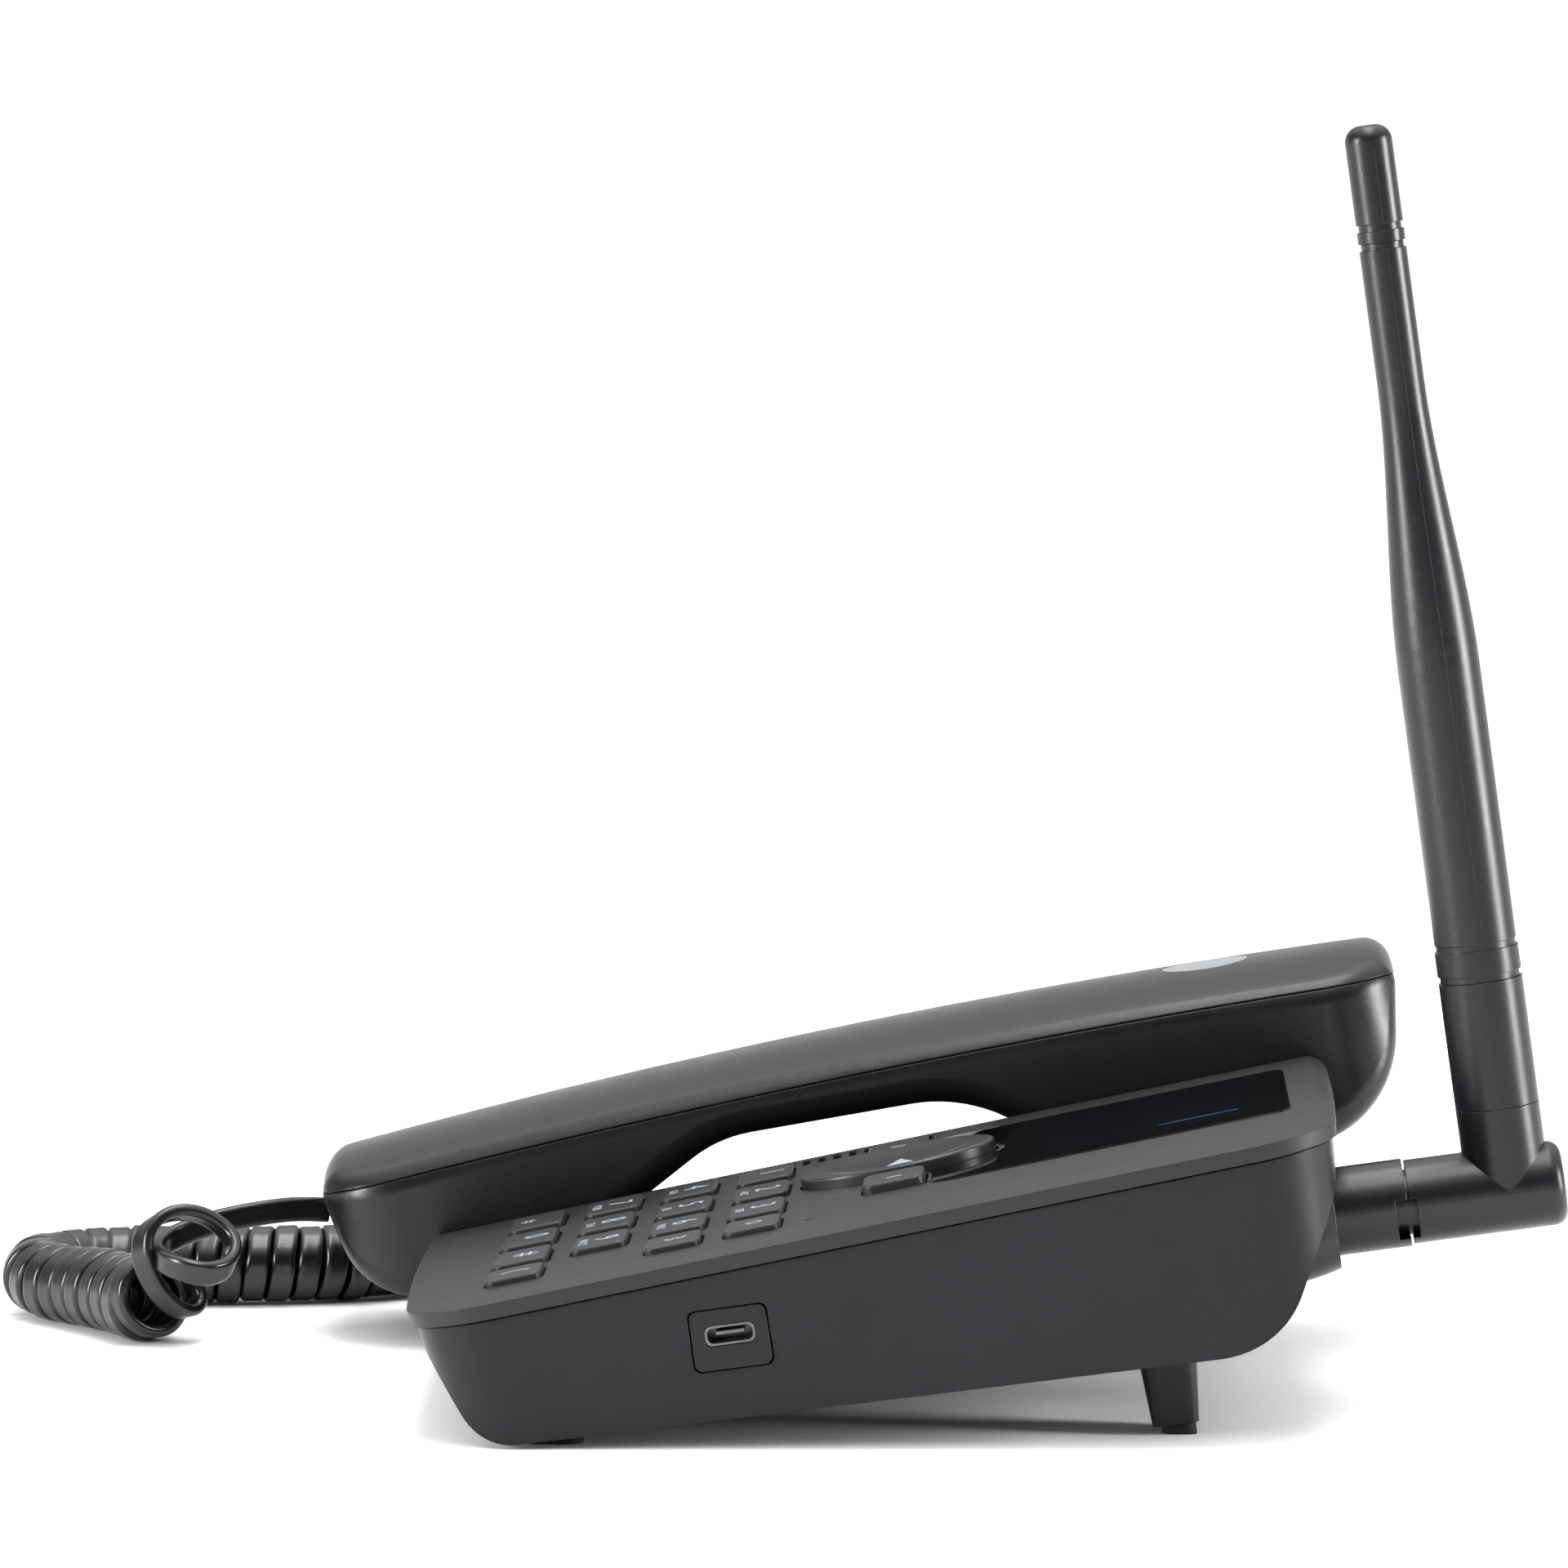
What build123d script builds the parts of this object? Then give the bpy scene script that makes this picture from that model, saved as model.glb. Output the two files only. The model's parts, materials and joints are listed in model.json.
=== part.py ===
from build123d import *
import math
import os

# Desk phone with a corded handset, a keypad deck with a display and a swivelling rod antenna.
# Driving dimensions, in millimetres and degrees. Most pieces are drawn in the deck frame: x to the
# phone's right, y rearwards along the keypad deck from its front edge, z square to the deck.
deck_tilt = 12.0
deck_front_y = -80.2
deck_front_z = 20.6
base_width = 146.0
base_length = 146.0
base_corner = 14.0
front_bow = 3.2
rear_bow = 1.6
wall = 2.2
side_draft = 6.0
plate = 2.0
cover_drop = 2.4
cover_overhang = 0.8
parting_gap = 0.3
rear_roll = 4.0
bottom_front_z = -23.7
bottom_slope = 4.65

cradle_edge_x = -21.0
mouth_floor = -11.0
bridge_top = -9.0
ear_floor = -16.2

handset_x = -47.0
handset_width = 48.0
handset_corner = 15.0
handset_wall = 2.6
handset_front = -23.5
handset_rear = 163.5
handset_top = 17.1
handset_crown = 3.5
back_radius = 1335.0
back_apex_y = 66.0
mouth_bottom = -10.5
ear_bottom = -15.7
handset_round = 4.5
seam_gap = 0.25
seam_end = 8.5
seam_middle = 11.9
socket_z = 4.6
badge_y = 131.0
badge_width = 12.0
badge_length = 14.5

key_top = 1.0
key_gap = 0.3
key_length = 9.0
key_width = 13.8
key_row_start = 15.6
key_row_pitch = 12.75
key_column_start = -6.2
key_column_pitch = 19.2
side_key_x = 49.5
side_key_width = 11.2
nav_x = 13.5
nav_y = 76.5
nav_length = 32.0
nav_width = 23.0
nav_top = 2.0

lens_left = -11.0
lens_right = 40.0
lens_front = 76.0
lens_rear = 140.0
lens_thick = 1.0

antenna_x = 25.0
antenna_y = 92.0
antenna_z = 35.3
antenna_tilt = 8.0
antenna_radius = 6.7
tip_radius = 3.75
boss_end = -16.4
arm_start = -16.0
arm_end = 8.9
sleeve_start = 13.6
whip_start = 34.0
whip_band = 6.1
taper_start = 84.0
taper_end = 130.0
whip_end = 150.9
tip_start = 155.0
tip_end = 170.6
groove_width = 1.1
groove_depth = 0.35
core_radius = 1.2
drum_radius = 5.2
running_gap = 0.06

leg_x = 48.0
leg_y = 113.5
leg_height = 11.9
hook_y = 122.0
hatch_x = -14.0
hatch_half = 25.0
usb_y = 48.4
usb_z = -13.0
usb_depth = 5.2
usb_lean = -4.0
jack_y = 28.0
jack_z = -17.6

cord_width = 4.0
coil_diameter = 13.2
cord_height = coil_diameter / 2 + 0.1

to_desk = Location((0, deck_front_y, deck_front_z), (deck_tilt, 0, 0))
to_arm = Location((antenna_x, antenna_y, antenna_z), (antenna_tilt, 0, 0))


def save(part, node):
    """Write one node's solids to its own STEP file."""
    part.label = node
    export_step(part, f"parts/{node}.step")


def bar(x0, x1, y0, y1, z0, z1):
    """A block between two corners."""
    return Pos((x0 + x1) / 2, (y0 + y1) / 2, (z0 + z1) / 2) * Box(x1 - x0, y1 - y0, z1 - z0)


def pad(x, y, z0, z1, width, length, corner):
    """A plate with rounded corners, centred at x, y."""
    shape = Pos(x, y, z0) * RectangleRounded(width, length, corner)
    return extrude(shape, amount=z1 - z0, dir=(0, 0, 1))


def post(x, y, z0, z1, radius):
    """An upright round post."""
    return Pos(x, y, (z0 + z1) / 2) * Cylinder(radius, z1 - z0)


def rod(x, y0, y1, z, radius):
    """A round rod along y."""
    return Pos(x, (y0 + y1) / 2, z) * Rot(90, 0, 0) * Cylinder(radius, y1 - y0)


def oval(x, y, z0, z1, width, length):
    """An elliptical plate."""
    shape = Pos(x, y, z0) * Ellipse(width / 2, length / 2)
    return extrude(shape, amount=z1 - z0, dir=(0, 0, 1))


def side_prism(points, radii, x0, x1):
    """A prism along x from an outline of y, z points, with one corner radius each."""
    face = make_face(Polyline(*[(x0, y, z) for y, z in points], close=True))
    for (y, z), radius in zip(points, radii):
        if radius > 0:
            corner = face.vertices().sort_by_distance((x0, y, z))[0]
            face = fillet(corner, radius)
    return extrude(face, amount=x1 - x0, dir=(1, 0, 0))


# ---- base housing, deck frame
def bottom_z(y):
    """Height of the flat underside at y."""
    return bottom_front_z - (y - 12) * math.tan(math.radians(bottom_slope))


def base_plan(inset):
    """The base's outline on the deck: its front and rear edges bow out a little."""
    half = base_width / 2 - inset
    front, rear = inset, base_length - inset
    near = ThreePointArc((-half, front), (0, front - front_bow), (half, front))
    far = ThreePointArc((half, rear), (0, rear + rear_bow), (-half, rear))
    outline = near + Line((half, front), (half, rear)) + far + Line((-half, rear), (-half, front))
    plan = make_face(outline)
    return fillet(plan.vertices(), base_corner - inset)


def base_block(inset):
    """The base's outer form, drawn in by inset."""
    depth = 45.0
    drawn_in = inset + depth * math.tan(math.radians(side_draft))
    prism = loft([base_plan(inset), Pos(0, 0, -depth) * base_plan(drawn_in)], ruled=True)
    points = [(-9 + inset, 5), (-1.8 + inset, -2), (5.8 + inset, bottom_z(5.8) + inset)]
    points += [(132 - inset, bottom_z(132) + inset), (146.9 - inset, -8), (151.5, 5)]
    radii = [0, 8, 9, 16 - inset, 25, 0]
    return prism & side_prism(points, radii, -base_width, base_width)


def cradle_channel(grow):
    """The open channel that takes the handset, grown outwards by grow."""
    low, mid, deep = mouth_floor - grow, bridge_top - grow, ear_floor - grow
    points = [(-30, low), (36, low), (40, mid), (91 - grow, mid), (99 - grow, deep), (190, deep)]
    points += [(190, 30), (-30, 30)]
    return side_prism(points, [0, 3, 3, 4, 3, 0, 0, 0], -100, cradle_edge_x + grow)


def floor_z(x, y):
    """Height of the cover's outer face over a screw at x, y."""
    if x > cradle_edge_x:
        return 0.0
    return ear_floor if y > 95 else bridge_top if y > 40 else mouth_floor


screw_spots = [(x, y) for x in (-61, 61) for y in (46, 127)]
key_spots = []
for row in range(4):
    for column in range(3):
        key_x = key_column_start + key_column_pitch * column
        key_spots.append((key_x, key_row_start + key_row_pitch * row, key_width))
for row in (0, 2, 3):
    key_spots.append((side_key_x, key_row_start + key_row_pitch * row, side_key_width))
key_names = ["star", "0", "hash", "7", "8", "9", "4", "5", "6", "1", "2", "3", "call", "redial", "menu"]
soft_spots = {"soft_key_left": (-3.6, 76.2, 12.4), "soft_key_right": (32.0, 76.2, 11.6)}


def lens_plan(z0, z1, grow):
    """The display lens's outline as a plate, with its notches for the navigation keys."""
    width = lens_right - lens_left + 2 * grow
    length = lens_rear - lens_front + 2 * grow
    x = (lens_left + lens_right) / 2
    y = (lens_front + lens_rear) / 2
    blank = pad(x, y, z0, z1, width, length, 11 + grow)
    square = pad(x, y + 16, z0, z1, width, length - 32, 2.5)
    blank = blank + square
    notch = oval(nav_x, nav_y, z0, z1, nav_width + 2.4 - 2 * grow, nav_length + 2.4 - 2 * grow)
    for soft_x, soft_y, soft_width in soft_spots.values():
        notch = notch + pad(soft_x, soft_y, z0, z1, soft_width + 2.2 - 2 * grow, 12.2 - 2 * grow, 2.4)
    return blank - notch


def make_top_cover():
    """The cover: keypad deck, handset cradle and side band in one shell."""
    cover = base_block(0) & (bar(cradle_edge_x, 90, -20, 170, -cover_drop, 20) + cradle_channel(cover_drop))
    hollow = base_block(wall) & bar(-100, 100, -30, 190, -60, -plate)
    cover = cover - (hollow - cradle_channel(plate)) - cradle_channel(0)
    for x, y, width in key_spots:
        cover = cover - pad(x, y, -5, 5, width + 2 * key_gap, key_length + 2 * key_gap, 1.8)
    cover = cover - oval(nav_x, nav_y, -5, 5, nav_width + 0.8, nav_length + 0.8)
    for x, y, width in soft_spots.values():
        cover = cover - pad(x, y, -5, 5, width + 0.7, 10.7, 1.8)
    cover = cover - lens_plan(-lens_thick - 0.1, 5, 0.15)
    cover = cover - bar(-5, 35, 99, 134, -5, 5)
    for index in range(12):
        cover = cover - pad(-16.2, 52.4 + 2.6 * index, -5, 5, 5.6, 1.4, 0.65)
    cover = cover - post(52.0, 63.0, -5, 5, 0.7)
    cover = cover - pad(handset_x, hook_y, -30, 0, 6.6, 5.0, 1.0)
    roll_y = base_length + rear_bow - rear_roll
    roll = Pos(0, roll_y, 0.1 - rear_roll) * Rot(0, 90, 0) * Cylinder(rear_roll, 2 * base_width)
    return cover - (bar(-base_width, base_width, roll_y, 160, 0.1 - rear_roll, 10) - roll)


def make_lower_housing():
    """The lower housing: floor, four drafted walls, screw posts and wall openings."""
    above = bar(cradle_edge_x, 90, -20, 170, -cover_drop - parting_gap, 20)
    above = above + cradle_channel(cover_drop + parting_gap)
    housing = base_block(cover_overhang) - base_block(cover_overhang + wall)
    for x, y in screw_spots:
        housing = housing + (post(x, y, -50, floor_z(x, y) - plate - 0.1, 3.6) & base_block(cover_overhang))
    housing = housing - above
    for x, y in screw_spots:
        housing = housing - post(x, y, -60, bottom_z(y) + 5.0, 2.9) - post(x, y, -60, 5, 1.45)
    housing = housing - usb_block(0.15) - jack_block(0.15)
    housing = housing - bar(hatch_x - 21, hatch_x + 21, 59, 115, -60, -8)
    housing = housing - cover_slab(0.3)
    return housing


def cover_slab(grow):
    """The slab under the battery bay that the battery cover fills, open to the rear."""
    depth = 1.5 + grow
    points = [(55 - grow, bottom_z(55) - 2), (55 - grow, bottom_z(55) + cover_overhang + depth)]
    points += [(160, bottom_z(160) + cover_overhang + depth), (160, bottom_z(160) - 2)]
    return side_prism(points, [0, 0, 0, 0], hatch_x - hatch_half - grow, hatch_x + hatch_half + grow)


def to_usb():
    """The charging socket's own frame: x along the wall, y up it, z out of it."""
    outwards = Plane(origin=(0, 0, 0), x_dir=(0, 1, 0), z_dir=(1, 0, 0))
    return Location((base_width / 2 - usb_depth, usb_y, usb_z), (usb_lean, 0, 0)) * outwards.location


def usb_block(grow):
    """The block behind the charging socket's recess."""
    return to_usb() * pad(0, 0, -4, 12, 12.2 + 2 * grow, 9.6 + 2 * grow, 1.2)


def jack_block(grow):
    """The block of the handset cord's socket in the left wall."""
    return bar(-base_width / 2 - 5, -base_width / 2 + 13, jack_y - 6 - grow, jack_y + 6 + grow,
               jack_z - 3.9 - grow, jack_z + 3.9 + grow)


def make_keys():
    """Fifteen keypad keys, the navigation key and two soft keys, each with a flange under the cover."""
    for name, (x, y, width) in zip(key_names, key_spots):
        cap = pad(x, y, -plate - 0.9, key_top, width, key_length, 1.6)
        cap = fillet(cap.faces().sort_by(Axis.Z)[-1].edges(), 0.45)
        flange = pad(x, y, -plate - 0.9, -plate - 0.15, width + 1.4, key_length + 1.4, 1.6)
        save(to_desk * (cap + flange), f"key_{name}")
    nav = oval(nav_x, nav_y, -plate - 0.9, nav_top, nav_width, nav_length)
    nav = fillet(nav.faces().sort_by(Axis.Z)[-1].edges(), 0.6)
    dish_radius = 70.0
    nav = nav - Pos(nav_x, nav_y, nav_top + dish_radius - 1.0) * Sphere(dish_radius)
    nav = nav + oval(nav_x, nav_y, -plate - 0.9, -plate - 0.15, nav_width + 1.8, nav_length + 1.8)
    save(to_desk * nav, "nav_key")
    for name, (x, y, width) in soft_spots.items():
        cap = pad(x, y, -plate - 0.9, 1.5, width, 10.0, 1.8)
        cap = fillet(cap.faces().sort_by(Axis.Z)[-1].edges(), 0.5)
        around = oval(nav_x, nav_y, -5, 5, nav_width + 2.6, nav_length + 2.6)
        save(to_desk * (cap - around), name)


def make_inner_pieces():
    """What the base holds: display, boards, loudspeaker, microphone, battery and card holder."""
    save(to_desk * lens_plan(-lens_thick, 0.15, 0), "display_lens")
    save(to_desk * bar(-4.6, 34.6, 99.4, 133.6, -4.0, -lens_thick - 0.15), "lcd_module")
    mat = pad(18.5, 45, -4.6, -3.9, 74, 76, 3)
    save(to_desk * mat, "keypad_mat")
    board = pad(18.5, 71, -6.3, -4.7, 74, 130, 3)
    save(to_desk * board, "main_board")
    frame = post(-3, 66, -12.5, -8.2, 14) + post(-3, 66, -15.5, -12.5, 8)
    save(to_desk * frame, "loudspeaker")
    save(to_desk * post(52.0, 63.0, -3.85, -plate - 0.1, 3.0), "base_microphone")
    y0, y1 = 61, 113
    battery = pad(0, 0, 0, 5.2, 40, y1 - y0, 2)
    tilt = Pos(hatch_x, (y0 + y1) / 2, bottom_z((y0 + y1) / 2) + 3.6) * Rot(-bottom_slope, 0, 0)
    save(to_desk * (tilt * battery), "battery_pack")
    save(to_desk * bar(30, 46, 68, 88, -9.4, -6.4), "sim_holder")


def make_sockets():
    """The charging socket in the right wall and the handset cord's socket in the left wall."""
    turn = to_usb()
    bezel = pad(0, 0, -3.4, 3.1, 12.0, 9.4, 1.2) - pad(0, 0.6, -8, 8, 8.0, 3.4, 1.2)
    save(to_desk * (turn * bezel), "usb_bezel")
    shell = pad(0, 0.6, -3.4, 2.9, 7.8, 3.1, 1.1) - pad(0, 0.6, -2.4, 8, 7.1, 2.4, 0.9)
    tongue = bar(-2.2, 2.2, 0.55, 1.05, -2.4, 1.8)
    save(to_desk * (turn * (shell + tongue)), "usb_port")
    socket = bar(-71.0, -60.5, jack_y - 5.8, jack_y + 5.8, jack_z - 3.8, jack_z + 3.8)
    mouth = bar(-80, -62.0, jack_y - 4.0, jack_y + 4.0, jack_z - 3.3, jack_z + 3.3)
    save(to_desk * (socket - mouth), "base_jack")
    body = bar(-74.0, -62.3, jack_y - 3.8, jack_y + 3.8, jack_z - 3.2, jack_z + 3.2)
    sleeve = pad(0, 0, 0, 4.0, 6.0, 4.6, 1.0)
    plug = body + Pos(-74.0, jack_y, jack_z) * Rot(0, -90, 0) * Rot(0, 0, 90) * sleeve
    save(to_desk * plug, "base_plug")


def make_under_pieces():
    """Feet, legs, battery cover and the screws that hold the two halves together."""
    pads = Part()
    legs = Part()
    tips = Part()
    for side in (-1, 1):
        lean = Rot(-bottom_slope, 0, 0)
        front_seat = bottom_z(17) + cover_overhang - 0.15
        pads += Pos(side * 60, 17, front_seat) * lean * pad(0, 0, -3.0, 0, 9, 10, 2.5)
        rear_seat = bottom_z(leg_y) + cover_overhang - 0.15
        stem = extrude(RectangleRounded(13, 9.4, 2.6), amount=-leg_height, taper=5)
        at_leg = Pos(side * leg_x, leg_y, rear_seat) * lean
        legs += at_leg * stem
        tips += at_leg * pad(0, 0.4, -leg_height - 3.5, -leg_height - 0.02, 8, 5.4, 1.6)
    below_desk = bar(-200, 200, -300, 300, -20, 0)
    save(to_desk * pads - below_desk, "front_pads")
    save(to_desk * legs, "rear_legs")
    save(to_desk * tips - below_desk, "rear_pads")
    hatch = base_block(cover_overhang) & cover_slab(0)
    grip = Part()
    for index in range(4):
        y = 64 + 2.4 * index
        depth = bottom_z(y) + cover_overhang + 0.5
        grip += bar(hatch_x - 9, hatch_x + 9, y, y + 1.0, depth - 4.3, depth)
    save(to_desk * (hatch - grip), "battery_cover")
    screws = Part()
    for x, y in screw_spots:
        head_z = bottom_z(y) + 4.95
        thread_end = floor_z(x, y) - plate - 0.4
        screws += post(x, y, head_z - 1.6, head_z, 2.3) + post(x, y, head_z, thread_end, 1.2)
    save(to_desk * screws, "housing_screws")


def make_hook():
    """The hook switch in the ear rest: a switch body and the plunger that the handset holds down."""
    case = bar(handset_x - 5.5, handset_x + 5.5, hook_y - 5, hook_y + 5, -26.4, -18.5)
    well = bar(handset_x - 3.1, handset_x + 3.1, hook_y - 2.4, hook_y + 2.4, -24.6, -15)
    save(to_desk * (case - well), "hook_switch")
    stem = pad(handset_x, hook_y, -24.0, ear_floor + 0.2, 6.0, 4.4, 0.8)
    top = fillet(stem.faces().sort_by(Axis.Z)[-1].edges(), 0.5)
    save(to_desk * top, "hook_plunger")


# ---- handset, deck frame
def handset_section():
    """The handset's side outline at x = 0, with the finger arch below and room above for the back."""
    points = [(handset_front, 18.0), (-17.5, mouth_bottom), (14.0, mouth_bottom), (46.0, 5.6)]
    points += [(87.0, 4.4), (113.0, ear_bottom), (157.0, ear_bottom), (handset_rear, 18.0)]
    radii = [14.0, 18.0, 22.0, 26.0, 16.0, 19.0]
    spots = [Vector(0, y, z) for y, z in points]
    over = ThreePointArc(spots[-1], Vector(0, back_apex_y, handset_top + 6), spots[0])
    face = make_face(Polyline(*spots) + over)
    for spot, radius in zip(spots[1:-1], radii):
        corner = face.vertices().sort_by_distance(spot)[0]
        face = fillet(corner, radius)
    return face


def back_block(depth):
    """The bulk under the handset's back, depth below it: arched along and crowned across."""
    reach = 40.0
    cross_radius = (handset_width / 2) ** 2 / (2 * handset_crown) - depth
    apex = handset_top - depth
    edge = apex - cross_radius + math.sqrt(cross_radius ** 2 - reach ** 2)
    crown = ThreePointArc((-reach, edge), (0, apex), (reach, edge))
    sides = Polyline((reach, edge), (reach, -60), (-reach, -60), (-reach, edge))
    section = make_face(Plane.XZ * (crown + sides))
    centre = handset_top - back_radius
    sweep_angle = 12.0
    bulk = revolve(section, axis=Axis((0, 0, centre), (1, 0, 0)), revolution_arc=sweep_angle)
    level = Pos(0, 0, centre) * Rot(-sweep_angle / 2, 0, 0) * Pos(0, 0, -centre)
    return Pos(handset_x, back_apex_y, 0) * level * bulk


def handset_form(inset):
    """The handset's outer form, drawn in by inset."""
    face = handset_section()
    half = handset_width / 2 - inset
    length = handset_rear - handset_front - 2 * inset
    middle = (handset_rear + handset_front) / 2
    if inset > 0:
        face = offset(face, -inset)
    form = extrude(Pos(handset_x - half, 0, 0) * face, amount=2 * half, dir=(1, 0, 0))
    form = form & pad(handset_x, middle, -40, 60, 2 * half, length, handset_corner - inset)
    form = form & back_block(inset)
    if inset == 0:
        form = fillet([edge for edge in form.edges() if is_rim(edge)], handset_round)
    return form


def is_rim(edge):
    """True for the edges round the handset's back and along the lower edges of its sides."""
    spot = edge.position_at(0.5)
    if spot.Z > 5:
        return abs(edge.tangent_at(0.5).Z) < 0.6
    upright = abs(edge.position_at(0).Y - edge.position_at(1).Y) < 5.0
    on_side = abs(abs(spot.X - handset_x) - handset_width / 2) < 0.1
    if edge.geom_type == GeomType.LINE:
        return on_side and not upright
    return abs(spot.X - handset_x) > 5.0


def above_seam(lift):
    """Everything above the handset's seam, which follows its back in a long low arch."""
    points = [Vector(0, -40, seam_end + lift), Vector(0, 70, seam_middle + lift)]
    points.append(Vector(0, 180, seam_end + lift))
    high, low = Vector(0, 180, 60), Vector(0, -40, 60)
    outline = ThreePointArc(*points) + Polyline(points[2], high, low, points[0])
    return extrude(Pos(handset_x - 40, 0, 0) * make_face(outline), amount=80, dir=(1, 0, 0))


def make_handset():
    """The handset's two shells and what they hold."""
    outer = handset_form(0)
    inner = handset_form(handset_wall)
    shell = outer - inner
    top = shell & above_seam(0)
    bottom = shell - above_seam(-seam_gap)
    mouth_y, ear_y = 4.0, 132.0
    for x, y in ((handset_x, 60), (handset_x, 80)):
        boss = post(x, y, -20, 30, 3.0) & outer
        bottom = bottom + (boss - above_seam(-seam_gap))
        top = top + (boss & above_seam(0))
        bottom = bottom - post(x, y, -20, 7.4, 2.5) - post(x, y, -20, 30, 1.3)
        top = top - post(x, y, 0, 15.0, 1.3)
    for x, y in ((-3.2, 0), (0, 0), (3.2, 0)):
        bottom = bottom - post(handset_x + x, mouth_y + y, -30, 0, 0.9)
    for x in (-4.5, 0, 4.5):
        for y in (-4.5, 0, 4.5):
            bottom = bottom - post(handset_x + x, ear_y + y, -30, 0, 1.0)
    bottom = bottom - handset_socket(0.1)
    badge = oval(handset_x, badge_y, 0, 60, badge_width + 0.2, badge_length + 0.2)
    pocket = above_back(0.5)
    save(to_desk * (top - (badge & pocket)), "handset_top_shell")
    save(to_desk * bottom, "handset_bottom_shell")
    small = oval(handset_x, badge_y, 0, 60, badge_width, badge_length)
    save(to_desk * (small & above_back(0.45) & outer), "handset_badge")
    save(to_desk * post(handset_x, ear_y, ear_bottom + handset_wall + 0.6, -6, 12.0), "earpiece_receiver")
    capsule = post(handset_x, mouth_y, mouth_bottom + handset_wall + 0.1, -4.5, 4.8)
    save(to_desk * capsule, "handset_microphone")
    save(to_desk * bar(handset_x - 13, handset_x + 13, 116, 146, -5.5, 2.5), "handset_weight")
    screws = Part()
    for y in (60, 80):
        screws += post(handset_x, y, 5.8, 7.35, 2.2) + post(handset_x, y, 7.35, 13.6, 1.1)
    save(to_desk * screws, "handset_screws")
    socket = handset_socket(0) & bar(-100, 0, -30, -7.0, -20, 20)
    mouth = bar(handset_x - 4.0, handset_x + 4.0, -60, -9.0, socket_z - 3.5, socket_z + 3.5)
    front = bar(-100, 0, -40, -19.8, -30, 30)
    save(to_desk * (socket - mouth - front), "handset_jack")
    plug = bar(handset_x - 3.8, handset_x + 3.8, -21.8, -9.4, socket_z - 3.3, socket_z + 3.3)
    save(to_desk * plug, "handset_plug")


def above_back(depth):
    """Everything above a skin of that depth under the handset's back."""
    return bar(handset_x - 30, handset_x + 30, badge_y - 30, badge_y + 30, 0, 40) - back_block(depth)


def handset_socket(grow):
    """The block of the cord's socket in the handset's front end."""
    return bar(handset_x - 5.4 - grow, handset_x + 5.4 + grow, -40, -7.0 + grow,
               socket_z - 4.6 - grow, socket_z + 4.6 + grow)


# ---- antenna, arm frame: y along the arm, z up along the antenna, origin at the elbow
def antenna_outline(stations):
    """A turned solid from z, radius stations along the antenna."""
    points = [Vector(0, 0, stations[0][0])]
    points += [Vector(radius, 0, z) for z, radius in stations]
    points.append(Vector(0, 0, stations[-1][0]))
    return revolve(make_face(Polyline(*points, close=True)), axis=Axis.Z)


def whip_radius(z):
    """The whip's radius at z: full below, slim above, with a smooth run between."""
    share = min(1.0, max(0.0, (z - taper_start) / (taper_end - taper_start)))
    smooth = share * share * (3 - 2 * share)
    return antenna_radius - 0.15 - (antenna_radius - 0.15 - tip_radius) * smooth


def make_antenna():
    """The swivelling antenna: arm with elbow, sleeve, whip, tip and the radiator inside."""
    arm = rod(0, arm_start, arm_end, 0, antenna_radius + 0.05)
    arm = fillet(arm.edges().sort_by(Axis.Y)[-1], 2.2)
    arm = arm + post(0, 0, 0, sleeve_start, antenna_radius)
    arm = arm - rod(0, arm_start - 1, -5.5, 0, drum_radius + running_gap)
    arm = arm - bar(0, 10, arm_start - 1, arm_start + 1.1, -5.2, 1.4)
    arm = arm - post(0, 0, 2, sleeve_start + 1, core_radius + 0.1)
    save(to_arm * arm, "antenna_elbow")
    bore = post(0, 0, -1, whip_end - 4, core_radius + 0.1)
    slim, full = antenna_radius - groove_depth, antenna_radius
    sleeve = antenna_outline([(sleeve_start + 0.1, full), (whip_start - 0.05, full)])
    save(to_arm * (sleeve - bore), "antenna_sleeve")
    band_end = whip_start + whip_band
    low = [(whip_start, slim), (whip_start + groove_width, slim), (whip_start + groove_width, full)]
    low += [(band_end - groove_width, full), (band_end - groove_width, slim), (band_end, slim)]
    steps = 12
    span = taper_end - taper_start
    middle = [(band_end, full - 0.15)]
    heights = [taper_start + span * step / steps for step in range(steps + 1)]
    middle += [(height, whip_radius(height)) for height in heights]
    neck = [(whip_end, tip_radius), (whip_end, tip_radius - groove_depth)]
    neck.append((whip_end + groove_width, tip_radius - groove_depth))
    save(to_arm * (antenna_outline(low + middle + neck) - bore), "antenna_whip")
    ring_start = whip_end + groove_width + 0.05
    ring = [(ring_start, tip_radius), (tip_start - groove_width, tip_radius)]
    ring += [(tip_start - groove_width, tip_radius - groove_depth), (tip_start, tip_radius - groove_depth)]
    tip = antenna_outline(ring + [(tip_start, tip_radius), (tip_end, tip_radius)])
    round_edge = tip.edges().filter_by(GeomType.CIRCLE).sort_by(Axis.Z)[-1]
    save(to_arm * fillet(round_edge, tip_radius * 0.7), "antenna_tip")
    save(to_arm * post(0, 0, 2.4, whip_end - 4.4, core_radius), "antenna_radiator")


def mount_form(grow):
    """The antenna's mount: a round boss that flares into the rear wall."""
    tube = rod(0, -36, boss_end, 0, antenna_radius + 0.35 + grow)
    sections = []
    flare = ((-50, 24, 17, 1.5), (-38, 24, 17, 1.5), (-32, 20.5, 16.6, 1.2), (-28, 17, 15.8, 0.9))
    for y, width, height, drop in flare:
        plane = Plane(origin=(0, y, -drop), x_dir=(1, 0, 0), z_dir=(0, -1, 0))
        sections.append(plane * RectangleRounded(width + 2 * grow, height + 2 * grow, 6.5))
    return tube + loft(sections)


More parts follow.
